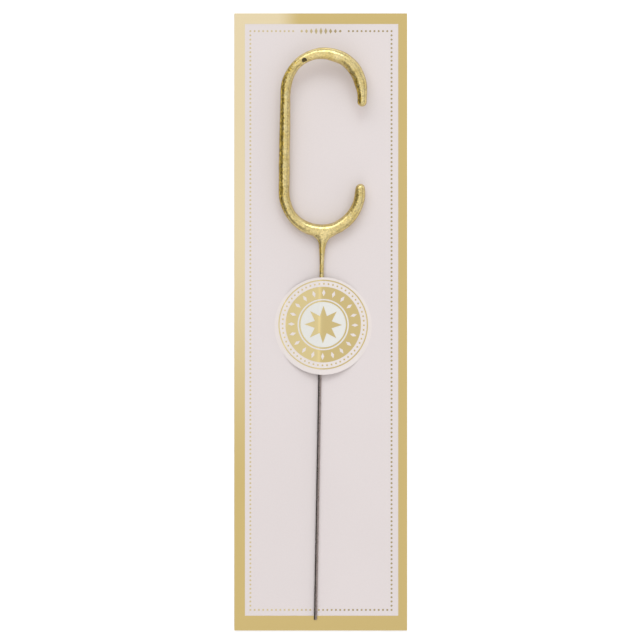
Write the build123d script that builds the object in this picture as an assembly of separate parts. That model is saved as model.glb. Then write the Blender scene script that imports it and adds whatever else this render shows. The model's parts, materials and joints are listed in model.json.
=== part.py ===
from build123d import *

import math
import os

# A gold letter sparkler held on its card by a round paper seal.
# Millimetres. X is across the card, +Y is up the card, +Z is out of its printed face.
# The origin is the middle of the card's back.

# Backing card
card_width = 70.0
card_length = 250.0
card_thickness = 0.6

# Gold foil on the card: a border, a dotted line inside it and a row of lozenges in the top of that line
foil_thickness = 0.03
border_left = 4.3
border_right = 3.6
border_top = 4.3
border_bottom = 6.0
dot_diameter = 0.8
dot_pitch = 1.715
dot_inset_left = 2.2
dot_inset_right = 2.7
dot_inset_top = 2.9
dot_inset_bottom = 2.35
crest_count = 9
crest_pitch = 1.95
crest_width = 1.25
crest_end_height = 1.2
crest_middle_height = 3.0
crest_margin = 1.3

# Stem wire: where it crosses the seal's middle, its lean on the card, its tail's distance from the foot
# of the card and its bend off the card
stem_x = 0.0
stem_y = -1.65
stem_lean = 1.03
wire_diameter = 1.3
wire_gap = 0.07
tail_margin = 4.37
bend_start = 4.0
bend_radius = 60.0

# Letter: its centre line, from the tee where the stem meets the bowl, and the bowl's gap over the card
tee_height = 38.7
letter_gap = 0.4
letter_radius = 15.5
letter_straight = 40.4
letter_shift = -0.45
lower_hook = 1.7
upper_hook = 3.8
weld_cover = 0.45

# Cover over the wire, gold and composition together: at the lower tip, at each eighth of a turn round
# the bowl, at the foot, middle and head of the stroke, round the top and at the upper tip
lower_tip_cover = 1.15
bowl_covers = [1.3, 1.4, 1.65, 1.35, 1.33]
stroke_cover = 1.45
top_covers = [1.2, 1.1, 1.65, 1.85, 1.25]
upper_tip_cover = 1.15
coat_thickness = 0.15

# Flare below the tee: drop from the tee, cover along the letter's width and cover across its face
flare_sections = [
    (0.0, 3.95, 1.35),
    (2.3, 2.85, 1.15),
    (3.6, 1.65, 0.9),
    (5.2, 0.85, 0.65),
    (7.2, 0.45, 0.43),
    (9.2, 0.3, 0.3),
]
neck_cover = 0.13
neck_taper = 3.8
coat_under_seal = 5.0

# Pit in the face of the coat, on the letter's upper left turn
pit_radius = 0.8
pit_turn = 122.7
pit_inset = 0.6

# Round paper seal, folded like a tent over the stem and glued down along a wing at each side
seal_radius = 19.7
seal_shift = 1.0
label_thickness = 0.15
adhesive_thickness = 0.05
left_wing = 3.4
right_wing = 4.6
tent_clearance = 0.15
ridge_width = 1.6

# Gold foil on the seal, over a thin film that bonds it, from the edge inwards about one centre a little
# above the label's own
bond_film = 0.01
print_shift = 0.6
outer_ring_margin = 1.8
outer_ring_width = 0.5
bead_gap = 1.4
bead_diameter = 0.75
bead_count = 56
band_gap = 1.2
band_width = 4.9
lozenge_count = 20
lozenge_length = 2.9
lozenge_width = 1.35
inner_ring_gap = 0.9
inner_ring_width = 0.6
star_margin = 1.9
star_points = 8
star_waist = 3.7

# Heights above the card's face
wire_radius = wire_diameter / 2
wire_height = foil_thickness + wire_gap + wire_radius
tee_rise = wire_radius + bowl_covers[2] + letter_gap
stem_slope = math.atan((tee_rise - wire_height) / (tee_height - bend_start))

# Length of the tail below the seal's middle
tail_length = (card_length / 2 + stem_y - tail_margin) / math.cos(math.radians(stem_lean))


def stem_height(distance):
    """Height of the stem's centre line at a distance up from the seal's middle."""
    return wire_height + max(0.0, distance - bend_start) * math.tan(stem_slope)


# The sparkler and the seal are drawn upright on the card's face, then leaned into place
on_card = Pos(stem_x, stem_y, card_thickness) * Rot(0, 0, -stem_lean)
on_letter = on_card * Pos(0, tee_height, tee_rise) * Rot(math.degrees(stem_slope), 0, 0)


def polar(radius, degrees):
    return (radius * math.cos(math.radians(degrees)), radius * math.sin(math.radians(degrees)))


def lozenge(width, height):
    return Polygon((0, -height / 2), (width / 2, 0), (0, height / 2), (-width / 2, 0))


def group(solids):
    return Compound(children=list(solids))


# Card and its foil
window_left = -card_width / 2 + border_left
window_right = card_width / 2 - border_right
window_top = card_length / 2 - border_top
window_bottom = -card_length / 2 + border_bottom
dots_left = window_left + dot_inset_left
dots_right = window_right - dot_inset_right
dots_top = window_top - dot_inset_top
dots_bottom = window_bottom + dot_inset_bottom
crest_x = (dots_left + dots_right) / 2
crest_half = ((crest_count - 1) * crest_pitch + crest_width) / 2


def backing_card():
    return extrude(Rectangle(card_width, card_length), card_thickness)


def foil_frame():
    window_middle = Pos((window_left + window_right) / 2, (window_bottom + window_top) / 2)
    window = window_middle * Rectangle(window_right - window_left, window_top - window_bottom)
    frame = Rectangle(card_width, card_length) - window
    return Pos(0, 0, card_thickness) * extrude(frame, foil_thickness)


def foil_dots():
    columns = round((dots_right - dots_left) / dot_pitch)
    rows = round((dots_top - dots_bottom) / dot_pitch)
    spots = []
    for column in range(columns + 1):
        x = dots_left + (dots_right - dots_left) * column / columns
        spots.append((x, dots_bottom))
        if abs(x - crest_x) > crest_half + crest_margin:
            spots.append((x, dots_top))
    for row in range(1, rows):
        y = dots_bottom + (dots_top - dots_bottom) * row / rows
        spots.extend([(dots_left, y), (dots_right, y)])
    dot = extrude(Circle(dot_diameter / 2), foil_thickness)
    return group(Pos(x, y, card_thickness) * dot for x, y in spots)


def foil_crest():
    middle = (crest_count - 1) / 2
    pieces = []
    for place in range(crest_count):
        nearness = 1 - abs(place - middle) / max(middle, 1)
        height = crest_end_height + (crest_middle_height - crest_end_height) * nearness
        piece = extrude(lozenge(crest_width, height), foil_thickness)
        pieces.append(Pos(crest_x + (place - middle) * crest_pitch, dots_top, card_thickness) * piece)
    return group(pieces)


# Wires of the sparkler. The letter is drawn in its own plane with the tee at the origin.
eighth_turn = math.pi * letter_radius / 4
letter_left = letter_shift - letter_radius
letter_right = letter_shift + letter_radius
stroke_foot = letter_radius
stroke_head = letter_radius + letter_straight


def letter_path():
    lower_tip = (letter_right, stroke_foot + lower_hook)
    bowl_end = (letter_right, stroke_foot)
    bowl_middle = (letter_shift, 0)
    foot = (letter_left, stroke_foot)
    head = (letter_left, stroke_head)
    top_middle = (letter_shift, stroke_head + letter_radius)
    top_end = (letter_right, stroke_head)
    upper_tip = (letter_right, stroke_head - upper_hook)
    return Wire(
        [
            Edge.make_line(lower_tip, bowl_end),
            Edge.make_three_point_arc(bowl_end, bowl_middle, foot),
            Edge.make_line(foot, head),
            Edge.make_three_point_arc(head, top_middle, top_end),
            Edge.make_line(top_end, upper_tip),
        ]
    )


path = letter_path()


def across_letter(length):
    """Plane square to the letter's centre line at a length from the lower tip."""
    place = path.position_at(length, position_mode=PositionMode.LENGTH)
    along = path.tangent_at(length, position_mode=PositionMode.LENGTH)
    return Plane(origin=place, x_dir=(0, 0, 1), z_dir=along)


def letter_wire():
    return on_letter * sweep(across_letter(0) * Circle(wire_radius), path=path)


def stem_wire(letter):
    """Stem with its upper end coped to fit round the letter wire."""
    tail = (0, -tail_length, wire_height)
    bend = (0, bend_start, wire_height)
    tee = (0, tee_height, tee_rise)
    run = FilletPolyline(tail, bend, tee, radius=bend_radius)
    section = Plane(origin=tail, x_dir=(1, 0, 0), z_dir=(0, 1, 0)) * Circle(wire_radius)
    return on_card * sweep(section, path=run) - letter


def weld_bead(letter, stem):
    bead = Pos(0, -wire_radius) * Sphere(wire_radius + weld_cover)
    return on_letter * bead - letter - stem


# Burning composition and the gold coat over it
cover_spans = [lower_hook] + [eighth_turn] * 4 + [letter_straight / 2] * 2 + [eighth_turn] * 4 + [upper_hook]
covers = [lower_tip_cover, *bowl_covers, stroke_cover, *top_covers, upper_tip_cover]


def dome(radius):
    return Sphere(radius, arc_size1=0, arc_size2=90, align=None)


def letter_body(skin):
    """Tube of changing girth along the letter, with round tips, drawn in by a skin."""
    radii = [wire_radius + cover - skin for cover in covers]
    sections = [across_letter(0) * Circle(radii[0])]
    length = 0.0
    for span, near, far in zip(cover_spans, radii, radii[1:]):
        sections.append(across_letter(length + span / 2) * Circle((near + far) / 2))
        length += span
        sections.append(across_letter(length) * Circle(far))
    first = across_letter(0)
    back = Plane(origin=first.origin, x_dir=first.x_dir, z_dir=-first.z_dir)
    return loft(sections) + back * dome(radii[0]) + across_letter(length) * dome(radii[-1])


def across_stem(drop):
    """Plane square to the stem at a drop below the tee, with its x along the letter's width."""
    return Plane(origin=(0, -drop, 0), x_dir=(1, 0, 0), z_dir=(0, -1, 0))


def flare_rings(skin):
    inside = wire_radius - skin
    return [across_stem(drop) * Ellipse(inside + wide, inside + deep) for drop, wide, deep in flare_sections]


def composition_body():
    return on_letter * (letter_body(coat_thickness) + loft(flare_rings(coat_thickness)))


def gold_body():
    neck_ring = Circle(wire_radius + neck_cover)
    neck_start = flare_sections[-1][0] + neck_taper
    neck_end = tee_height - seal_radius + coat_under_seal
    flare = loft(flare_rings(0) + [across_stem(neck_start) * neck_ring])
    neck = across_stem(neck_start) * extrude(neck_ring, neck_end - neck_start)
    return on_letter * (letter_body(0) + flare + neck)


def pit():
    x, y = polar(letter_radius - pit_inset, pit_turn)
    surface = wire_radius + top_covers[1]
    return on_letter * (Pos(letter_shift + x, stroke_head + y, surface) * Sphere(pit_radius))


def sparkler():
    letter = letter_wire()
    stem = stem_wire(letter)
    weld = weld_bead(letter, stem)
    inner = composition_body()
    hole = pit()
    return {
        "stem_wire": stem,
        "letter_wire": letter,
        "weld_bead": weld,
        "spark_composition": inner - letter - stem - weld - hole,
        "gold_coat": gold_body() - inner - stem - hole,
    }


# Seal: sheets that lie flat on the card along two wings and fold up between them, over the stem
ridge_height = stem_height(seal_radius) + wire_radius + neck_cover + tent_clearance
lift_left = seal_shift - seal_radius + left_wing
lift_right = seal_shift + seal_radius - right_wing


def tent_points(base):
    """Corners, from left to right, of the section of a sheet that lies at a base height on the wings."""
    top = base + ridge_height - adhesive_thickness
    return [
        (lift_left - seal_radius, base),
        (lift_left, base),
        (-ridge_width / 2, top),
        (ridge_width / 2, top),
        (lift_right, base),
        (lift_right + seal_radius, base),
    ]


def tented(outline, base, thickness):
    """Sheet with an outline seen from above, lying at a base height on the wings."""
    lower = tent_points(base)
    upper = tent_points(base + thickness)
    section = Polygon(*lower, *reversed(upper), align=None)
    sheet = extrude(Plane.XZ * section, 2 * seal_radius, both=True)
    return on_card * (sheet & extrude(outline, ridge_height + base + thickness))


def seal_outline():
    return Pos(seal_shift, 0) * Circle(seal_radius)


def seal_label():
    return tented(seal_outline(), adhesive_thickness, label_thickness)


def seal_adhesive():
    lifted = Pos((lift_left + lift_right) / 2, 0) * Rectangle(lift_right - lift_left, 2 * seal_radius)
    return on_card * extrude(seal_outline() - lifted, adhesive_thickness)


# Foil on the seal
outer_ring_radius = seal_radius - outer_ring_margin
bead_circle_radius = outer_ring_radius - bead_gap
band_outer_radius = bead_circle_radius - band_gap
band_inner_radius = band_outer_radius - band_width
inner_ring_radius = band_inner_radius - inner_ring_gap
star_radius = inner_ring_radius - star_margin


def stamped(outline):
    """Foil on top of the label, with an outline about the print's centre."""
    label_top = adhesive_thickness + label_thickness + bond_film
    return tented(Pos(seal_shift, print_shift) * outline, label_top, foil_thickness)


def ring(radius, width):
    return Circle(radius + width / 2) - Circle(radius - width / 2)


def seal_outer_ring():
    return stamped(ring(outer_ring_radius, outer_ring_width))


def seal_bead_ring():
    beads = Sketch()
    for place in range(bead_count):
        beads += Pos(*polar(bead_circle_radius, 360 * place / bead_count)) * Circle(bead_diameter / 2)
    return stamped(beads)


def seal_band():
    band = ring((band_outer_radius + band_inner_radius) / 2, band_width)
    for place in range(lozenge_count):
        turn = 360 * place / lozenge_count
        middle = polar((band_outer_radius + band_inner_radius) / 2, turn)
        band -= Pos(*middle) * Rot(0, 0, turn) * lozenge(lozenge_length, lozenge_width)
    return stamped(band)


def seal_inner_ring():
    return stamped(ring(inner_ring_radius, inner_ring_width))


def seal_star():
    corners = []
    for place in range(2 * star_points):
        reach = star_waist if place % 2 else star_radius
        corners.append(polar(reach, 90 + 180 * place / star_points))
    return stamped(Polygon(*corners, align=None))


pieces = {
    "backing_card": backing_card(),
    "foil_frame": foil_frame(),
    "foil_dots": foil_dots(),
    "foil_crest": foil_crest(),
    "seal_label": seal_label(),
    "seal_adhesive": seal_adhesive(),
    "seal_outer_ring": seal_outer_ring(),
    "seal_bead_ring": seal_bead_ring(),
    "seal_band": seal_band(),
    "seal_inner_ring": seal_inner_ring(),
    "seal_star": seal_star(),
    **sparkler(),
}

os.makedirs("parts", exist_ok=True)
for name, piece in pieces.items():
    export_step(piece, f"parts/{name}.step")
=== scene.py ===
import json
import math

import bpy
from mathutils import Matrix, Vector, noise


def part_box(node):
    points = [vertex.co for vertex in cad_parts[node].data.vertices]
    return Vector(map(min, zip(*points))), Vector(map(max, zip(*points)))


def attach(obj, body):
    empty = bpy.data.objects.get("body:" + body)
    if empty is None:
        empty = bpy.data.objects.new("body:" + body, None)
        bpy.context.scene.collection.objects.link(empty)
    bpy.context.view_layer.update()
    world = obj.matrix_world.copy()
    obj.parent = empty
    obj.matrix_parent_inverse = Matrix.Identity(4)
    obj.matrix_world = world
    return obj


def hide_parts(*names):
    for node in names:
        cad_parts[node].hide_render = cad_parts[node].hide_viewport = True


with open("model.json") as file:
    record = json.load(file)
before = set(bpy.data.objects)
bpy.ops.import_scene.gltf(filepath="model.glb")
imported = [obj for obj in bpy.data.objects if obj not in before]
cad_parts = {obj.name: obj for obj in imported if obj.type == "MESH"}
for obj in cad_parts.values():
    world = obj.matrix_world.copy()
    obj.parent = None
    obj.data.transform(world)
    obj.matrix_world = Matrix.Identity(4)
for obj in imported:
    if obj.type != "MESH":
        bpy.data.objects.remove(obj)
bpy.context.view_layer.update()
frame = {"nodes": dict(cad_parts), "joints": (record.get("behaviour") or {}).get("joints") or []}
mm = 0.001
nodes = frame["nodes"]
joints = {joint["name"]: joint for joint in frame["joints"]}
cardLow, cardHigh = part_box("backing_card")
cardTop = cardHigh.z
print("frame loaded:", len(nodes), "nodes")


def mixNumbers(a, b, t):
    return a + (b - a) * t


def curveThrough(marks, x):  # smooth curve through (place, value) marks
    if x <= marks[0][0]:
        return marks[0][1]
    for i in range(len(marks) - 1):
        (x0, y0), (x1, y1) = marks[i], marks[i + 1]
        if x <= x1:
            xa, ya = marks[max(i - 1, 0)]
            xb, yb = marks[min(i + 2, len(marks) - 1)]
            span = x1 - x0
            m0 = (y1 - ya) / (x1 - xa) * span
            m1 = (yb - y0) / (xb - x0) * span
            t = (x - x0) / span
            return (
                (2 * t**3 - 3 * t**2 + 1) * y0 + (t**3 - 2 * t**2 + t) * m0
                + (3 * t**2 - 2 * t**3) * y1 + (t**3 - t**2) * m1
            )
    return marks[-1][1]


def fromMillimetres(marks):
    return [(place * mm, value * mm) for place, value in marks]


def turns(count):  # angles of points evenly round a circle
    return [2 * math.pi * j / count for j in range(count)]


def polar(middle, radius, turn):
    return middle[0] + radius * math.cos(turn), middle[1] + radius * math.sin(turn)


def onSide(corners, k, t):  # point on the side that starts at corner k
    start = corners[k % len(corners)]
    end = corners[(k + 1) % len(corners)]
    return tuple(mixNumbers(u, v, t) for u, v in zip(start, end))


def shifted(faces, start):
    return [tuple(i + start for i in face) for face in faces]


# Shader maths: a Term is one socket, and arithmetic on it adds Math nodes
class Term:
    def __init__(self, finish, socket):
        self.finish = finish
        self.socket = socket

    def maths(self, how, other, flipped=False):
        pair = (other, self) if flipped else (self, other)
        return self.finish.add("ShaderNodeMath", {"operation": how}, {0: pair[0], 1: pair[1]})

    def __add__(self, other):
        return self.maths("ADD", other)

    def __radd__(self, other):
        return self.maths("ADD", other, True)

    def __sub__(self, other):
        return self.maths("SUBTRACT", other)

    def __rsub__(self, other):
        return self.maths("SUBTRACT", other, True)

    def __mul__(self, other):
        return self.maths("MULTIPLY", other)

    def __rmul__(self, other):
        return self.maths("MULTIPLY", other, True)

    def __truediv__(self, other):
        return self.maths("DIVIDE", other)

    def __rtruediv__(self, other):
        return self.maths("DIVIDE", other, True)

    def __pow__(self, other):
        return self.maths("POWER", other)

    def __rpow__(self, other):
        return self.maths("POWER", other, True)

    def out(self, name):  # another output of the same node
        return Term(self.finish, self.socket.node.outputs[name])


class Finish:
    def __init__(self, name, tree=None):
        if tree is None:
            self.material = bpy.data.materials.new(name)
            self.material.use_nodes = True
            tree = self.material.node_tree
        self.tree = tree
        self.tree.nodes.clear()

    def add(self, kind, settings=None, sockets=None, output=0):
        node = self.tree.nodes.new(kind)
        for key, value in (settings or {}).items():
            if key == "stops":
                while len(node.color_ramp.elements) < len(value):
                    node.color_ramp.elements.new(1.0)
                for element, (place, colour) in zip(node.color_ramp.elements, value):
                    element.position = place
                    tone = colour if isinstance(colour, tuple) else (colour,) * 3
                    element.color = (*tone, 1.0)
            else:
                setattr(node, key, value)
        for key, value in (sockets or {}).items():
            socket = node.inputs[key] if isinstance(key, int) else self.named(node.inputs, key)
            if isinstance(value, Term):
                self.tree.links.new(value.socket, socket)
            elif isinstance(value, tuple) and socket.type == "RGBA":
                socket.default_value = (*value, 1.0)
            else:
                socket.default_value = value
        if not node.outputs:
            return None
        if isinstance(output, int):
            return Term(self, node.outputs[output])
        return Term(self, self.named(node.outputs, output))

    def named(self, sockets, key):
        return next(s for s in sockets if s.identifier == key or (s.name == key and s.enabled))

    def place(self):  # metres in the part's own frame
        return self.add("ShaderNodeTexCoord", output="Object")

    def axes(self):
        return self.add("ShaderNodeSeparateXYZ", None, {"Vector": self.place()})

    def facing(self):  # which way the surface faces in the part's own frame
        normal = self.add("ShaderNodeTexCoord", output="Normal")
        return self.add("ShaderNodeSeparateXYZ", None, {"Vector": normal})

    def distance(self, middle):
        sockets = {0: self.place(), 1: tuple(middle)}
        return self.add("ShaderNodeVectorMath", {"operation": "DISTANCE"}, sockets, "Value")

    def noise(self, perMetre, detail=2.0, roughness=0.5, where=None):
        sockets = {
            "Vector": where or self.place(), "Scale": perMetre, "Detail": detail, "Roughness": roughness,
        }
        return self.add("ShaderNodeTexNoise", None, sockets)

    def ramp(self, value, stops):
        return self.add("ShaderNodeValToRGB", {"stops": stops}, {"Fac": value})

    def step(self, value, low, high):  # 0 below low, 1 above high, smooth between
        settings = {"interpolation_type": "SMOOTHSTEP"}
        return self.add("ShaderNodeMapRange", settings, {"Value": value, "From Min": low, "From Max": high})

    def blend(self, amount, first, second, how="MIX"):
        settings = {"data_type": "RGBA", "blend_type": how}
        sockets = {"Factor_Float": amount, "A_Color": first, "B_Color": second}
        return self.add("ShaderNodeMix", settings, sockets, "Result_Color")

    def bump(self, height, distance, strength=1.0, under=None):
        sockets = {"Height": height, "Distance": distance, "Strength": strength}
        if under:
            sockets["Normal"] = under
        return self.add("ShaderNodeBump", None, sockets)

    def surface(self, **sockets):
        named = {key.replace("_", " "): value for key, value in sockets.items()}
        shader = self.add("ShaderNodeBsdfPrincipled", None, named)
        self.add("ShaderNodeOutputMaterial", None, {"Surface": shader})
        return self.material


def linear(red, green, blue):  # a colour read as 0 to 255 in a picture
    shares = (red / 255, green / 255, blue / 255)
    return tuple(v / 12.92 if v <= 0.04045 else ((v + 0.055) / 1.055) ** 2.4 for v in shares)


# Where the sparkler lies: leaned on the card, and bent up a little from the seal to the letter
stem = {
    "x": 0.0, "y": -1.65 * mm, "radius": 0.65 * mm, "lift": 0.75 * mm, "tail": 119.0 * mm,
    "bendStart": 4.0 * mm, "bendRadius": 60.0 * mm, "sides": 28, "straightSteps": 40, "bendSteps": 8,
    "cutEnd": [(0.0, 0.82), (0.06 * mm, 0.95), (0.16 * mm, 1.0)],  # along the wire, share of its radius
}
letter = {
    "radius": 15.5 * mm, "straight": 40.4 * mm, "shift": -0.45 * mm, "lowerHook": 1.7 * mm,
    "upperHook": 3.8 * mm, "teeHeight": 38.7 * mm, "teeRise": 2.7 * mm,
}

pullAxis = joints["pull_out"]["axis"]
lean = math.atan2(pullAxis[0], pullAxis[1])
slope = math.atan((letter["teeRise"] - stem["lift"]) / (letter["teeHeight"] - stem["bendStart"]))
onCard = Matrix.Translation((stem["x"], stem["y"], cardTop)) @ Matrix.Rotation(-lean, 4, "Z")
teePlace = Matrix.Translation((0, letter["teeHeight"], letter["teeRise"]))
onLetter = onCard @ teePlace @ Matrix.Rotation(slope, 4, "X")


def meshObject(name, points, faces, smooth=True):
    mesh = bpy.data.meshes.new(name)
    mesh.from_pydata([tuple(p) for p in points], [], faces)
    mesh.validate()
    mesh.update()
    for polygon in mesh.polygons:
        polygon.use_smooth = smooth
    obj = bpy.data.objects.new(name, mesh)
    bpy.context.scene.collection.objects.link(obj)
    return obj


def applied(obj):  # the object's mesh with its modifiers made real
    bpy.context.view_layer.update()
    graph = bpy.context.evaluated_depsgraph_get()
    mesh = bpy.data.meshes.new_from_object(obj.evaluated_get(graph))
    obj.modifiers.clear()
    obj.data = mesh
    return mesh


def dress(obj, body, slotName, material, *replaced):
    obj.data.materials.clear()
    obj.data.materials.append(material)
    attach(obj, body)
    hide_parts(*replaced)
    print("made", obj.name, len(obj.data.polygons), "faces")


def paint(nodeName, material):  # a CAD node keeps its shape and takes a finish
    obj = nodes[nodeName]
    obj.data.materials.clear()
    obj.data.materials.append(material)


def ringTube(rings):  # closed tube through rings of equal count
    count = len(rings[0])
    points = [p for ring in rings for p in ring]
    faces = []
    for i in range(len(rings) - 1):
        for j in range(count):
            k = (j + 1) % count
            faces.append((i * count + j, i * count + k, (i + 1) * count + k, (i + 1) * count + j))
    faces.append(tuple(range(count - 1, -1, -1)))
    faces.append(tuple(range((len(rings) - 1) * count, len(rings) * count)))
    return points, faces


# Finishes: grain is given in waves to the metre, a rough pair is the least value and what the grain adds
board = {
    "pink": linear(233, 223, 222), "core": linear(236, 231, 224), "back": linear(228, 224, 216),
    "inkEdge": (0.02 * mm, 0.05 * mm), "fibres": 1400, "fibreStain": 0.04, "clouds": 18, "cloudStain": 0.05,
    "rough": (0.78, 0.1), "relief": 0.01 * mm, "shine": 0.25,
}
fibreShades = [(0.3, 0.5), (0.7, 1.0)]
cloudShades = [(0.3, 0.55), (0.7, 1.0)]


def pinkBoard():
    f = Finish("pinkBoard")
    height = f.axes().out("Z")
    fibre = f.noise(board["fibres"], detail=4.0, roughness=0.6)
    cloud = f.noise(board["clouds"])
    near, far = board["inkEdge"]
    printed = f.step(height, cardTop - far, cardTop - near)
    inside = f.step(height, near, far)
    tone = f.blend(printed, f.blend(inside, board["back"], board["core"]), board["pink"])
    tone = f.blend(board["cloudStain"], tone, f.ramp(cloud, cloudShades), "MULTIPLY")
    tone = f.blend(board["fibreStain"], tone, f.ramp(fibre, fibreShades), "MULTIPLY")
    least, more = board["rough"]
    return f.surface(
        Base_Color=tone, Roughness=least + fibre * more, Specular_IOR_Level=board["shine"],
        Normal=f.bump(fibre, board["relief"], strength=0.5),
    )


foil = {
    "tone": (0.60, 0.46, 0.193), "pale": (0.75, 0.632, 0.407), "peel": 2200, "relief": 0.004 * mm,
    "frameRough": (0.3, 0.12), "sheenAcross": (-15 * mm, -5 * mm), "sheenAlong": (-70 * mm, 40 * mm),
    "sheenDrift": 22, "sheenWander": 6 * mm,
    "sealLitFlank": (0.69, 0.567, 0.284), "sealShadedFlank": (0.645, 0.512, 0.235), "sealRough": (0.26, 0.1),
    "foldAcross": (0.0, 4 * mm), "foldDrift": 60, "foldWander": 4 * mm,
    "dotsLeft": (0.66, 0.55, 0.32), "dotsRight": (0.34, 0.27, 0.145), "dotsRough": (0.3, 0.1),
    "dotsSheenAcross": (-14 * mm, 10 * mm), "dotsDrift": 300, "dotsStain": 0.4,
}


def foilSurface(f, tone, rough):
    peel = f.noise(foil["peel"], detail=3.0, roughness=0.55)
    least, more = rough
    bumps = f.bump(peel, foil["relief"], strength=0.4)
    return f.surface(Base_Color=tone, Metallic=1.0, Roughness=least + peel * more, Normal=bumps)


def goldFoil():
    f = Finish("goldFoil")
    axes = f.axes()
    wander = f.noise(foil["sheenDrift"]) * foil["sheenWander"]
    across = 1 - f.step(axes.out("X") + wander, *foil["sheenAcross"])
    paintedSheen = across * f.step(axes.out("Y"), *foil["sheenAlong"])  # painted sheen: paler towards the head and the left, standing in for the reflection of a bright panel at the upper left
    return foilSurface(f, f.blend(paintedSheen, foil["tone"], foil["pale"]), foil["frameRough"])


def sealFoil():
    f = Finish("sealFoil")
    wander = f.noise(foil["foldDrift"]) * foil["foldWander"]
    shadedFlank = f.step(f.axes().out("X") + wander, *foil["foldAcross"])  # painted shade: a shade deeper right of the fold, as the tent's right flank is lit less than its left
    return foilSurface(f, f.blend(shadedFlank, foil["sealLitFlank"], foil["sealShadedFlank"]), foil["sealRough"])


def dotFoil():
    f = Finish("dotFoil")
    drift = f.noise(foil["dotsDrift"])
    across = f.step(f.axes().out("X"), *foil["dotsSheenAcross"])  # painted sheen: paler towards the left, as on the frame
    tone = f.blend(across, foil["dotsLeft"], foil["dotsRight"])
    tone = f.blend(drift * foil["dotsStain"], tone, foil["tone"])
    least, more = foil["dotsRough"]
    return f.surface(Base_Color=tone, Metallic=1.0, Roughness=least + drift * more)


paper = {
    "white": linear(234, 232, 227), "rosy": linear(237, 227, 224), "discEdge": (10.0 * mm, 10.5 * mm),
    "upperEdge": (-0.2, 0.2), "fibres": 1700, "fibreStain": 0.05, "rough": (0.6, 0.15),
    "relief": 0.006 * mm, "shine": 0.35,
}


def sealPaper():
    f = Finish("sealPaper")
    fibre = f.noise(paper["fibres"], detail=4.0, roughness=0.6)
    printMiddle = onCard @ Vector((seal["shift"], seal["printShift"], 0))
    outside = f.step(f.distance(printMiddle), *paper["discEdge"])  # pale pink outside the white disc
    printed = f.step(f.facing().out("Z"), *paper["upperEdge"])  # the underside is plain
    tone = f.blend(outside * printed, paper["white"], paper["rosy"])
    tone = f.blend(paper["fibreStain"], tone, f.ramp(fibre, fibreShades), "MULTIPLY")
    least, more = paper["rough"]
    return f.surface(
        Base_Color=tone, Roughness=least + fibre * more, Specular_IOR_Level=paper["shine"],
        Normal=f.bump(fibre, paper["relief"], strength=0.5),
    )


glue = {"pale": linear(224, 216, 200), "deep": linear(206, 194, 172), "blotches": 700, "rough": (0.35, 0.2)}


def glueFilm():
    f = Finish("glueFilm")
    blotch = f.noise(glue["blotches"], detail=3.0)
    least, more = glue["rough"]
    return f.surface(Base_Color=f.blend(blotch, glue["pale"], glue["deep"]), Roughness=least + blotch * more)


wire = {
    "oxide": [(0.25, linear(118, 108, 104)), (0.55, linear(134, 123, 119)), (0.8, linear(148, 137, 133))],
    "scale": 420, "drawMarks": 5200, "drawStretch": (1.0, 0.06, 1.0), "metal": 0.95, "rough": (0.22, 0.12),
    "paintedLight": (-0.35, 0.75), "paintedLightWander": 0.3, "paintedLightShades": [(0.0, 0.38), (1.0, 1.5)],
    "relief": 0.01 * mm,
}


def darkWire():
    f = Finish("darkWire")
    where = f.add("ShaderNodeMapping", None, {"Vector": f.place(), "Scale": wire["drawStretch"]})
    drawn = f.noise(wire["drawMarks"], detail=3.0, roughness=0.6, where=where)
    scale = f.noise(wire["scale"], detail=4.0, roughness=0.65)
    right = f.facing().out("X")
    paintedLight = f.step(right + drawn * wire["paintedLightWander"], *wire["paintedLight"])  # painted light and shade: the right side is painted bright and the left dark
    tone = f.blend(1.0, f.ramp(scale, wire["oxide"]), f.ramp(paintedLight, wire["paintedLightShades"]), "MULTIPLY")
    least, more = wire["rough"]
    marks = f.bump(drawn, wire["relief"], strength=0.4)
    return f.surface(
        Base_Color=tone, Metallic=wire["metal"], Roughness=least + scale * more,
        Normal=f.bump(scale, wire["relief"], strength=0.3, under=marks),
    )


spark = {
    "tones": [(0.3, linear(38, 34, 30)), (0.7, linear(92, 86, 78))], "grit": 2600, "rough": 0.9,
    "relief": 0.08 * mm,
}


def sparkGrey():
    f = Finish("sparkGrey")
    grit = f.noise(spark["grit"], detail=4.0, roughness=0.7)
    tone = f.ramp(grit, spark["tones"])
    bumps = f.bump(grit, spark["relief"], strength=0.8)
    return f.surface(Base_Color=tone, Roughness=spark["rough"], Normal=bumps)


lacquer = {
    "gold": (0.64, 0.495, 0.18), "pale": (0.735, 0.605, 0.285), "clouds": 260, "cloudEdge": (0.3, 0.7),
    "granules": 1500, "granuleShades": [(0.0, 0.72), (0.25, 0.94), (0.7, 1.0), (1.0, 1.15)],
    "granuleStain": 0.9, "deep": (0.165, 0.098, 0.004), "dull": (0.68, 0.49, 0.08),
    "endOnLess": 0.9, "shadeWander": 0.7, "shadeEdge": (0.08, 0.24), "shadeFrom": (-0.02, 0.16),
    "shadeStain": 0.9, "upperEdge": (-0.3, 0.0), "flankEdge": (0.45, 0.85), "flankShade": 0.3,
    "hookAcross": (-4 * mm, 4 * mm), "hookAlong": (62 * mm, 80 * mm), "hookLess": 0.35,
    "flakes": 4200, "flakeRelief": 0.04 * mm, "granuleRelief": 0.09 * mm, "baseRelief": 0.5,
    "rough": (0.19, 0.12), "coat": 0.5, "shadeCoatLess": 0.4, "coatRough": 0.2,
}
pit = {
    "turn": 122.7, "inset": 0.6 * mm, "radius": 1.0 * mm, "height": 1.75 * mm, "depth": 0.55 * mm,
    "edge": (0.85, 1.15), "ragged": 0.3 * mm, "floorEdge": (0.25 * mm, 0.7 * mm),
    "floorTone": (0.36, 0.28, 0.12), "wallTone": (0.10, 0.066, 0.012), "roughMore": 0.4, "metalLess": 0.3,
}


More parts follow.
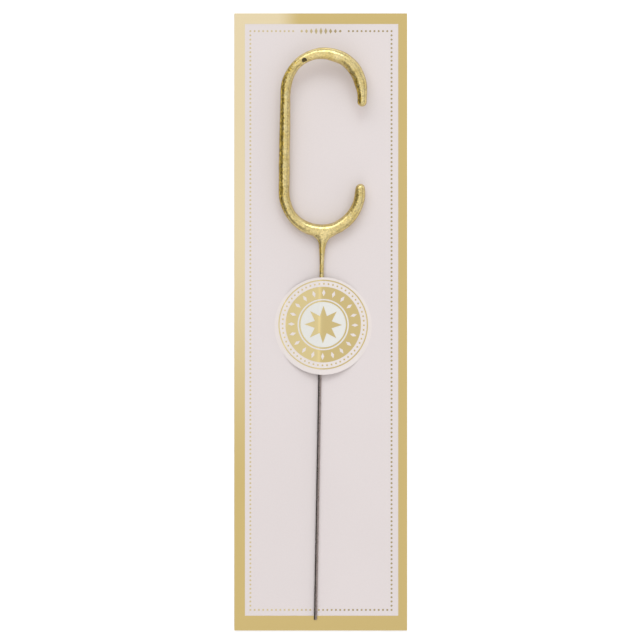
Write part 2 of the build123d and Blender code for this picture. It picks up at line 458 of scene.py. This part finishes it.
def pitMiddle():
    reach = letter["radius"] - pit["inset"]
    turn = math.radians(pit["turn"])
    x = letter["shift"] + reach * math.cos(turn)
    y = letter["radius"] + letter["straight"] + reach * math.sin(turn)
    return onLetter @ Vector((x, y, pit["height"]))


def goldLacquer():
    f = Finish("goldLacquer")
    granules = f.add("ShaderNodeTexVoronoi", None, {"Vector": f.place(), "Scale": lacquer["granules"]})
    chance = f.add("ShaderNodeSeparateColor", None, {"Color": granules.out("Color")})
    flake = f.noise(lacquer["flakes"], roughness=0.6)
    cloud = f.step(f.noise(lacquer["clouds"], detail=3.0), *lacquer["cloudEdge"])
    tone = f.blend(cloud, lacquer["gold"], lacquer["pale"])
    tone = f.blend(lacquer["granuleStain"], tone, f.ramp(chance, lacquer["granuleShades"]), "MULTIPLY")

    # painted shade: sides that face left are painted darker, and their grain is rougher
    faces = f.facing()
    ahead = faces.out("Y")
    leftFacing = faces.out("X") * -1 - (ahead * ahead) ** 0.5 * lacquer["endOnLess"]
    patchy = leftFacing + (chance - 0.5) * lacquer["shadeWander"]
    shadedSide = f.step(patchy, *lacquer["shadeEdge"]) * f.step(leftFacing, *lacquer["shadeFrom"])
    upper = f.step(faces.out("Z"), *lacquer["upperEdge"])  # the underside is as bright as the face
    rightSide = f.step(faces.out("X"), *lacquer["flankEdge"]) * upper  # a little painted shade on sides that face right
    axes = f.axes()
    across = f.step(axes.out("X"), *lacquer["hookAcross"])
    lowHook = across * (1 - f.step(axes.out("Y"), *lacquer["hookAlong"]))
    shade = f.blend(chance.out("Green"), lacquer["deep"], lacquer["dull"])
    # painted shade on left-facing sides, less of it on the lower hook, which the card lights, and a little
    # on right-facing sides
    tone = f.blend(shadedSide * upper * (lacquer["shadeStain"] - lowHook * lacquer["hookLess"]), tone, shade)
    tone = f.blend(rightSide * lacquer["flankShade"], tone, shade)

    gap = f.distance(pitMiddle())
    rim, outer = (pit["radius"] * share for share in pit["edge"])
    bare = 1 - f.step(gap + flake * pit["ragged"], rim, outer)
    crater = f.blend(f.step(gap, *pit["floorEdge"]), pit["floorTone"], pit["wallTone"])
    tone = f.blend(bare, tone, crater)

    least, more = lacquer["rough"]
    rugged = lacquer["baseRelief"] + shadedSide * (1 - lacquer["baseRelief"])  # smoother grain away from the painted shade
    grainy = f.bump(granules * rugged, lacquer["granuleRelief"], strength=0.8)
    return f.surface(
        Base_Color=tone, Metallic=1 - bare * pit["metalLess"],
        Roughness=least + flake * more + bare * pit["roughMore"],
        Normal=f.bump(flake * rugged, lacquer["flakeRelief"], strength=0.5, under=grainy),
        Coat_Weight=(lacquer["coat"] - shadedSide * lacquer["shadeCoatLess"]) * (1 - bare),
        Coat_Roughness=lacquer["coatRough"],
    )


# Sparkler: gold coat over the letter and the top of the stem. The flare's marks are drop below the tee
# and half width or depth, the swells' marks are length from the lower tip and height
coat = {
    "lowerTip": 1.80 * mm, "bowl": [1.95 * mm, 2.05 * mm, 2.30 * mm, 2.00 * mm, 1.98 * mm],
    "stroke": 2.10 * mm, "top": [1.85 * mm, 1.75 * mm, 2.30 * mm, 2.50 * mm, 1.90 * mm],
    "upperTip": 1.80 * mm,
    "flareLeft": fromMillimetres([
        (0, 4.7), (2.3, 3.7), (3.1, 2.75), (3.9, 1.95), (4.9, 1.45), (6, 1.2), (7.7, 1.08), (9.2, 1.0),
        (13, 0.84), (24, 0.8),
    ]),
    "flareRight": fromMillimetres([
        (0, 6.6), (1.6, 5.6), (2.3, 4.4), (3.1, 3.25), (3.9, 2.5), (4.9, 1.95), (6, 1.5), (7.7, 1.15),
        (9.2, 1.02), (13, 0.84), (24, 0.8),
    ]),
    "flareDeep": fromMillimetres([
        (0, 2.05), (2.3, 1.85), (3.6, 1.6), (5.2, 1.35), (7.2, 1.12), (9.2, 1.0), (13, 0.84), (24, 0.8),
    ]),
    "innerSwell": fromMillimetres([
        (0, 0.1), (4, 0.3), (17, 0.35), (21, 0), (30, 0), (41, 0.05), (46, 0.3), (58, 0.3), (66, 0.05),
        (76, 0.15), (88, 0.1), (94, 0.4), (99, 0.3), (104, 0), (116, 0), (119, 0.25), (124, 0.1), (128, 0.3),
        (134, 0.5), (137, 0.5), (140, 0.1), (144, 0),
    ]),
    "outerSwell": fromMillimetres([
        (0, 0), (10, 0), (15, 0.15), (20, 0.3), (25, 0), (29, 0.25), (34, 0.3), (38, 0.15), (41, 0),
        (56, 0), (80, 0), (104, 0.1), (108, 0), (144, 0),
    ]),
    "ringStep": 0.4 * mm, "sides": 32, "domeSteps": 7, "voxel": 0.175 * mm,
    "softenShare": 0.5, "softenRounds": 6, "swell": 0.1 * mm,
    "lumps": [(180, 0.1 * mm), (520, 0.05 * mm), (1450, 0.02 * mm)],  # waves to the metre, height
}
eighthTurn = math.pi * letter["radius"] / 4
strokeHead = letter["radius"] + letter["straight"]
letterLength = letter["lowerHook"] + 8 * eighthTurn + letter["straight"] + letter["upperHook"]


def letterPlace(length):  # point and direction on the letter's centre line, from the lower tip
    right = letter["shift"] + letter["radius"]
    if length < letter["lowerHook"]:
        return Vector((right, letter["radius"] + letter["lowerHook"] - length, 0)), Vector((0, -1, 0))
    length -= letter["lowerHook"]
    if length < 4 * eighthTurn:
        turn = -length / letter["radius"]
        x, y = polar((letter["shift"], letter["radius"]), letter["radius"], turn)
        return Vector((x, y, 0)), Vector((math.sin(turn), -math.cos(turn), 0))
    length -= 4 * eighthTurn
    if length < letter["straight"]:
        return Vector((letter["shift"] - letter["radius"], letter["radius"] + length, 0)), Vector((0, 1, 0))
    length -= letter["straight"]
    if length < 4 * eighthTurn:
        turn = math.pi - length / letter["radius"]
        x, y = polar((letter["shift"], strokeHead), letter["radius"], turn)
        return Vector((x, y, 0)), Vector((math.sin(turn), -math.cos(turn), 0))
    length -= 4 * eighthTurn
    return Vector((right, strokeHead - length, 0)), Vector((0, -1, 0))


def girthMarks():
    halfTurn = [eighthTurn] * 4
    spans = [letter["lowerHook"], *halfTurn, *[letter["straight"] / 2] * 2, *halfTurn, letter["upperHook"]]
    girths = [coat["lowerTip"], *coat["bowl"], coat["stroke"], *coat["top"], coat["upperTip"]]
    place = 0.0
    marks = [(place, girths[0])]
    for span, girth in zip(spans, girths[1:]):
        place += span
        marks.append((place, girth))
    return marks


def letterRing(middle, along, radius, length=None):
    side = Vector((along.y, -along.x, 0))  # towards the inside of the letter
    wide = radius
    if length is not None:
        inner = curveThrough(coat["innerSwell"], length)
        outer = curveThrough(coat["outerSwell"], length)
        middle = middle + side * (inner - outer) / 2
        wide += (inner + outer) / 2
    ring = []
    for turn in turns(coat["sides"]):
        across = wide * math.cos(turn) * side
        ring.append(onLetter @ (middle + across + radius * math.sin(turn) * Vector((0, 0, 1))))
    return ring


def tipDome(marks, tip, outward):  # rings that round off a tip, from its rim
    middle, along = letterPlace(tip)
    radius = curveThrough(marks, tip)
    rings = []
    for i in range(1, coat["domeSteps"]):
        turn = math.pi / 2 * i / coat["domeSteps"]
        rim = middle + outward * along * radius * math.sin(turn)
        rings.append(letterRing(rim, along, radius * math.cos(turn)))
    return rings


def letterRings():
    marks = girthMarks()
    count = round(letterLength / coat["ringStep"])
    rings = tipDome(marks, 0.0, -1)[::-1]
    for i in range(count + 1):
        length = letterLength * i / count
        rings.append(letterRing(*letterPlace(length), curveThrough(marks, length), length))
    return rings + tipDome(marks, letterLength, 1)


def flareRings():
    end = coat["flareDeep"][-1][0]
    count = round(end / coat["ringStep"])
    rings = []
    for i in range(count + 1):
        drop = end * i / count
        deep = curveThrough(coat["flareDeep"], drop)
        ring = []
        for turn in turns(coat["sides"]):
            side = "flareRight" if math.cos(turn) > 0 else "flareLeft"
            x = curveThrough(coat[side], drop) * math.cos(turn)
            ring.append(onLetter @ Vector((x, -drop, deep * math.sin(turn))))
        rings.append(ring)
    return rings


def sinkPit(mesh):
    hole = pitMiddle()
    for vertex in mesh.vertices:
        away = vertex.co - hole
        if away.length < pit["radius"]:
            bowl = math.sqrt(max(pit["radius"] ** 2 - away.x**2 - away.y**2, 0))
            vertex.co.z = min(vertex.co.z, hole.z - min(bowl, pit["depth"]))


def goldCoat():
    points, faces = ringTube(letterRings())
    more, moreFaces = ringTube(flareRings())
    obj = meshObject("goldCoat", points + more, faces + shifted(moreFaces, len(points)))
    melt = obj.modifiers.new("melt", "REMESH")
    melt.mode = "VOXEL"
    melt.voxel_size = coat["voxel"]
    soften = obj.modifiers.new("soften", "SMOOTH")
    soften.factor = coat["softenShare"]
    soften.iterations = coat["softenRounds"]
    mesh = applied(obj)
    outward = [vertex.normal.copy() for vertex in mesh.vertices]  # read once, before any vertex moves
    for vertex, normal in zip(mesh.vertices, outward):
        lump = sum(size * noise.noise(vertex.co * perMetre) for perMetre, size in coat["lumps"])
        vertex.co += normal * (coat["swell"] + lump)
    sinkPit(mesh)
    mesh.update()
    for polygon in mesh.polygons:
        polygon.use_smooth = True
    dress(obj, "sparkler", "gold_lacquer", goldLacquer(), "gold_coat")


def stemPath():
    start = Vector((0, -stem["tail"], stem["lift"]))
    bend = Vector((0, stem["bendStart"], stem["lift"]))
    tee = Vector((0, letter["teeHeight"], letter["teeRise"]))
    reach = stem["bendRadius"] * math.tan(slope / 2)
    rise = Vector((0, math.cos(slope), math.sin(slope)))
    bendFoot = bend - Vector((0, reach, 0))
    points = [mixNumbers(start, bendFoot, i / stem["straightSteps"]) for i in range(stem["straightSteps"])]
    for i in range(stem["bendSteps"] + 1):
        turn = slope * i / stem["bendSteps"]
        y = bend.y - reach + stem["bendRadius"] * math.sin(turn)
        points.append(Vector((0, y, bend.z + stem["bendRadius"] * (1 - math.cos(turn)))))
    points.append(tee - rise * stem["radius"])
    return points


def stemWire():
    path = stemPath()
    stations = [(path[0] + Vector((0, along, 0)), share) for along, share in stem["cutEnd"]]
    stations += [(point, 1.0) for point in path[1:]]
    across = Vector((1, 0, 0))
    rings = []
    for i, (middle, share) in enumerate(stations):
        nextPoint = stations[min(i + 1, len(stations) - 1)][0]
        lastPoint = stations[max(i - 1, 0)][0]
        up = across.cross((nextPoint - lastPoint).normalized())
        ring = []
        for turn in turns(stem["sides"]):
            offset = across * math.cos(turn) + up * math.sin(turn)
            ring.append(onCard @ (middle + offset * stem["radius"] * share))
        rings.append(ring)
    obj = meshObject("stemWire", *ringTube(rings))
    dress(obj, "sparkler", "dark_wire", darkWire(), "stem_wire")


# Seal: paper tented over the stem, with its foil
seal = {
    "radius": 19.7 * mm, "shift": 1.0 * mm, "printShift": 0.6 * mm,
    "paper": 0.15 * mm, "glue": 0.05 * mm, "foil": 0.03 * mm, "bond": 0.01 * mm,
    "leftFoot": -15.3 * mm, "rightFoot": 16.1 * mm, "ridgeBend": 6.0 * mm, "footBend": 9.0 * mm,
    "sides": 144, "rings": 48, "hub": 1e-4, "weld": 0.002 * mm, "sharpFrom": 40,
}
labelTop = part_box("seal_label")[1].z - cardTop - seal["paper"]
fall = labelTop - seal["glue"]


def flank(reach):  # slope of the paper between its bends at the ridge and at the foot
    bends = seal["ridgeBend"] + seal["footBend"]
    return math.atan2(reach, bends - fall) - math.acos(bends / math.hypot(reach, bends - fall))


flanks = {-1: flank(-seal["leftFoot"]), 1: flank(seal["rightFoot"])}


def tentHeight(across):  # height of the paper's underside over the wings, across from the stem
    side = -1 if across < 0 else 1
    foot = -seal["leftFoot"] if side < 0 else seal["rightFoot"]
    angle = flanks[side]
    x = abs(across)
    if x < seal["ridgeBend"] * math.sin(angle):
        return fall - seal["ridgeBend"] + math.sqrt(seal["ridgeBend"] ** 2 - x**2)
    if x > foot:
        return 0.0
    footStart = foot - seal["footBend"] * math.sin(angle)
    if x > footStart:
        return seal["footBend"] - math.sqrt(max(seal["footBend"] ** 2 - (foot - x) ** 2, 0))
    return seal["footBend"] * (1 - math.cos(angle)) + (footStart - x) * math.tan(angle)


def onTent(x, y, lift):  # point on the label, from the stem's axis, at a lift over the paper's underside
    return onCard @ Vector((x, y, seal["glue"] + tentHeight(x) + lift))


def thicken(obj, thickness):
    weld = obj.modifiers.new("weld", "WELD")
    weld.merge_threshold = seal["weld"]
    solid = obj.modifiers.new("thick", "SOLIDIFY")
    solid.thickness = thickness
    solid.offset = -1.0  # the given points are the sheet's upper face
    applied(obj).set_sharp_from_angle(angle=math.radians(seal["sharpFrom"]))


def tentedSheet(rows, lift):  # sheet through closed rows of flat points on the label
    points = [onTent(x, y, lift) for row in rows for x, y in row]
    count = len(rows[0])
    faces = []
    for i in range(len(rows) - 1):
        for j in range(count):
            k = (j + 1) % count
            faces.append((i * count + j, (i + 1) * count + j, (i + 1) * count + k, i * count + k))
    return points, faces


def polarRow(radius, count, middle):
    return [polar(middle, radius, turn) for turn in turns(count)]


def discRows(radius, count, rings, middle):
    hub = seal["hub"]  # a hub too small to see, closed by the weld
    return [polarRow(radius * (i + hub) / (rings + hub), count, middle) for i in range(rings + 1)]


def sealPiece(name, rowSets, lift, thickness, slotName, material, node):
    points, faces = [], []
    for rows in rowSets:
        more, moreFaces = tentedSheet(rows, lift)
        faces += shifted(moreFaces, len(points))
        points += more
    obj = meshObject(name, points, faces)
    thicken(obj, thickness)
    dress(obj, "seal", slotName, material, node)


sealPrint = {
    "margin": 1.8 * mm, "ringWidth": 0.5 * mm, "ringSides": 180,
    "beadGap": 1.4 * mm, "beadSize": 0.75 * mm, "beads": 56, "beadSides": 16, "beadRings": 2,
    "bandGap": 1.2 * mm, "bandWidth": 4.9 * mm, "bandLayers": 4,
    "lozenges": 20, "lozengeLength": 2.9 * mm, "lozengeWidth": 1.35 * mm,
    "innerGap": 0.9 * mm, "innerWidth": 0.6 * mm,
    "starMargin": 1.9 * mm, "starPoints": 8, "starWaist": 3.7 * mm, "starLayers": 16, "starHub": 0.001,
    "sideSteps": 8,
}


def ringRows(radius, width, middle):
    return [polarRow(radius + width * (i / 2 - 0.5), sealPrint["ringSides"], middle) for i in range(3)]


def bandCells(outer, inner, middle):  # one cell of the band round each knocked-out lozenge
    p = sealPrint
    steps = p["sideSteps"]
    layers = p["bandLayers"]
    radius = (outer + inner) / 2
    half = math.pi / p["lozenges"]
    tall = p["lozengeLength"] / 2
    wide = p["lozengeWidth"] / 2
    corners = [(outer, -half), (outer, half), (inner, half), (inner, -half)]
    tips = [(tall, 0), (0, wide), (-tall, 0), (0, -wide)]
    edge = []
    hole = []
    for k in range(4):
        for s in range(steps):
            t = s / steps
            edge.append(onSide(corners, k, t))
            # lozenge tips face the middles of the cell's sides
            back, over = onSide(tips, k, t + 0.5) if t < 0.5 else onSide(tips, k + 1, t - 0.5)
            hole.append((radius + back, over / radius))
    hole = hole[-steps:] + hole[:-steps]
    cells = []
    for i in range(p["lozenges"]):
        turn = 2 * half * i
        rows = []
        for layer in range(layers + 1):
            row = []
            for (r0, a0), (r1, a1) in zip(hole, edge):
                reach = mixNumbers(r0, r1, layer / layers)
                row.append(polar(middle, reach, mixNumbers(a0, a1, layer / layers) + turn))
            rows.append(row)
        cells.append(rows)
    return cells


def starRows(radius, middle):
    p = sealPrint
    corners = []
    for i in range(2 * p["starPoints"]):
        turn = math.pi / 2 + math.pi * i / p["starPoints"]
        corners.append(polar((0, 0), p["starWaist"] if i % 2 else radius, turn))
    edge = []
    for i in range(len(corners)):
        edge += [onSide(corners, i, s / p["sideSteps"]) for s in range(p["sideSteps"])]
    layers = p["starLayers"]
    rows = []
    for k in (p["starHub"], *range(1, layers + 1)):
        rows.append([(middle[0] + x * k / layers, middle[1] + y * k / layers) for x, y in edge])
    return rows


def sealPieces():
    p = sealPrint
    paperMiddle = (seal["shift"], 0.0)
    printMiddle = (seal["shift"], seal["printShift"])
    label = discRows(seal["radius"], seal["sides"], seal["rings"], paperMiddle)
    white = sealPaper()
    gold = sealFoil()
    sealPiece("sealLabel", [label], seal["paper"], seal["paper"], "white_paper", white, "seal_label")

    lift = seal["paper"] + seal["bond"] + seal["foil"]
    ringRadius = seal["radius"] - p["margin"]
    beadRadius = ringRadius - p["beadGap"]
    bandOuter = beadRadius - p["bandGap"]
    bandInner = bandOuter - p["bandWidth"]
    innerRadius = bandInner - p["innerGap"]
    starRadius = innerRadius - p["starMargin"]
    beadMiddles = polarRow(beadRadius, p["beads"], printMiddle)
    beads = [discRows(p["beadSize"] / 2, p["beadSides"], p["beadRings"], middle) for middle in beadMiddles]
    foilPrint = [
        ("sealOuterRing", [ringRows(ringRadius, p["ringWidth"], printMiddle)], "seal_outer_ring"),
        ("sealInnerRing", [ringRows(innerRadius, p["innerWidth"], printMiddle)], "seal_inner_ring"),
        ("sealBeadRing", beads, "seal_bead_ring"),
        ("sealBand", bandCells(bandOuter, bandInner, printMiddle), "seal_band"),
        ("sealStar", [starRows(starRadius, printMiddle)], "seal_star"),
    ]
    for name, rowSets, node in foilPrint:
        sealPiece(name, rowSets, lift, seal["foil"], "seal_foil", gold, node)


# Studio: a lamp and a softbox past the head of the card, pale walls past its head and foot,
# a panel nearly straight above, a fill on the right and a dark flag on the left
studio = {
    "floor": 12.0, "floorDrop": 0.3 * mm, "floorTone": (0.9, 0.9, 0.9), "floorGlow": 0.3,
    "keyAt": (0.08, 0.85, 0.735), "keyAim": (0, 0.03, 0), "keySize": (0.5, 0.42), "keyPower": 1.6,
    "keyTint": (0.88, 1.06, 1.09),
    "sky": 0.5, "overhead": 0.48, "panel": 0.75, "skirt": 0.2, "rightFill": 0.22, "flag": 0.44,
    "footWall": 1.35, "footWallLess": 0.4, "headWall": 1.15, "softbox": 2.7,
    "level": 0.885, "tint": (1.008, 1.003, 1.003), "skyline": 1.05,
}
# Where those lights begin and end in the sky: heights are a direction's z, panelRight is its x,
# and sides are the cosine from the light's own bearing
edges = {
    "overhead": (0.70, 0.82), "skirt": (0.36, 0.48), "panel": (0.89, 0.955), "panelRight": (-0.12, -0.02),
    "rightSide": (0.3, 0.6), "rightTop": (0.88, 0.96), "footSide": (0.86, 0.96), "footTop": (0.95, 0.98),
    "flagBearing": (-0.98, -0.17), "flagSide": (0.68, 0.9),
    "headSide": (0.45, 0.8), "headFoot": (0.3, 0.45), "headTop": (0.76, 0.88),
    "boxBearing": (-0.51, 0.86), "boxSide": (0.84, 0.96), "boxFoot": (0.5, 0.6), "boxTop": (0.76, 0.86),
    "skyline": (0.07, 0.12),
}


def worldLight():
    world = bpy.data.worlds.new("studio")
    bpy.context.scene.world = world
    world.use_nodes = True
    f = Finish("studio", world.node_tree)
    way = f.add("ShaderNodeSeparateXYZ", None, {"Vector": f.add("ShaderNodeTexCoord", output="Generated")})
    x, y, z = (way.out(axis) for axis in "XYZ")
    flat = (1.0001 - z * z) ** 0.5  # level part of the direction, never nought

    def past(value, edge):
        return f.step(value, *edges[edge])

    def bearing(name):
        across, along = edges[name]
        return (x * across + y * along) / flat

    overhead = past(z, "overhead")
    skirt = 1 - past(z, "skirt")
    panel = past(z, "panel") * (1 - past(x, "panelRight"))
    right = past(x / flat, "rightSide") * (1 - past(z, "rightTop"))
    left = past(bearing("flagBearing"), "flagSide") * (1 - panel)
    foot = past(y * -1 / flat, "footSide") * (1 - past(z, "footTop"))
    head = past(y / flat, "headSide") * past(z, "headFoot") * (1 - past(z, "headTop"))
    softbox = past(bearing("boxBearing"), "boxSide") * past(z, "boxFoot") * (1 - past(z, "boxTop"))
    level = studio["sky"] + overhead * studio["overhead"] + panel * studio["panel"]
    level = level + skirt * studio["skirt"] + right * studio["rightFill"]
    level = level * (1 - left * studio["flag"])
    level = level + foot * (studio["footWall"] - skirt * studio["footWallLess"] - level)
    level = level + head * (studio["headWall"] - level)
    level = level + softbox * (studio["softbox"] - level)
    white = studio["skyline"]  # white band behind the floor's edge
    level = (level * studio["level"] - white) * past(z, "skyline") + white
    lit = f.add("ShaderNodeBackground", None, {"Color": f.blend(1.0, studio["tint"], level, "MULTIPLY")})
    f.add("ShaderNodeOutputWorld", None, {"Surface": lit})


def floorPlane():
    half = studio["floor"] / 2
    points = [(-half, -half, 0), (half, -half, 0), (half, half, 0), (-half, half, 0)]
    obj = meshObject("floor", points, [(0, 1, 2, 3)], False)
    obj.location.z = -studio["floorDrop"]
    f = Finish("whiteFloor")
    ray = f.add("ShaderNodeLightPath")
    seen = ray.out("Is Camera Ray") + ray.out("Is Glossy Ray") + ray.out("Is Transmission Ray")
    matt = f.add("ShaderNodeBsdfDiffuse", None, {"Color": studio["floorTone"]})
    glow = f.add("ShaderNodeEmission", None, {"Color": (1.0, 1.0, 1.0), "Strength": studio["floorGlow"]})
    none = f.add("ShaderNodeEmission", None, {"Strength": 0.0})
    helped = f.add("ShaderNodeMixShader", None, {"Fac": seen, 1: none, 2: glow})
    both = f.add("ShaderNodeAddShader", None, {0: matt, 1: helped})
    f.add("ShaderNodeOutputMaterial", None, {"Surface": both})
    obj.data.materials.append(f.material)


def keyLamp():
    data = bpy.data.lights.new("key", "AREA")
    data.shape = "RECTANGLE"
    data.size, data.size_y = studio["keySize"]
    data.energy = studio["keyPower"]
    data.color = studio["keyTint"]
    obj = bpy.data.objects.new("key", data)
    obj.location = studio["keyAt"]
    towards = Vector(studio["keyAim"]) - Vector(studio["keyAt"])
    obj.rotation_euler = towards.to_track_quat("-Z", "Y").to_euler()
    bpy.context.scene.collection.objects.link(obj)


# The photo looks straight down at the card, and its picture is 640 pixels square
photo = {
    "pixels": 640, "cardLeft": 234.3, "cardRight": 407.1, "cardMidY": 321.95, "lens": 200.0, "sensor": 36.0,
}


def topCamera():
    perPixel = (cardHigh.x - cardLow.x) / (photo["cardRight"] - photo["cardLeft"])
    cardMidX = (photo["cardLeft"] + photo["cardRight"]) / 2
    data = bpy.data.cameras.new("camera")
    data.lens = photo["lens"]
    data.sensor_width = photo["sensor"]
    obj = bpy.data.objects.new("camera", data)
    x = (photo["pixels"] / 2 - cardMidX) * perPixel
    y = (photo["cardMidY"] - photo["pixels"] / 2) * perPixel
    away = photo["lens"] / photo["sensor"] * photo["pixels"] * perPixel
    obj.location = (x, y, cardTop + away)
    bpy.context.scene.collection.objects.link(obj)
    bpy.context.scene.camera = obj


bpy.context.scene.view_settings.view_transform = "Standard"
topCamera()
worldLight()
floorPlane()
keyLamp()
print("studio set")

paint("backing_card", pinkBoard())
paint("foil_frame", goldFoil())
smallFoil = dotFoil()
paint("foil_dots", smallFoil)
paint("foil_crest", smallFoil)
paint("seal_adhesive", glueFilm())
innerWire = darkWire()
paint("letter_wire", innerWire)
paint("weld_bead", innerWire)
paint("spark_composition", sparkGrey())
print("CAD nodes painted")

sealPieces()
stemWire()
goldCoat()
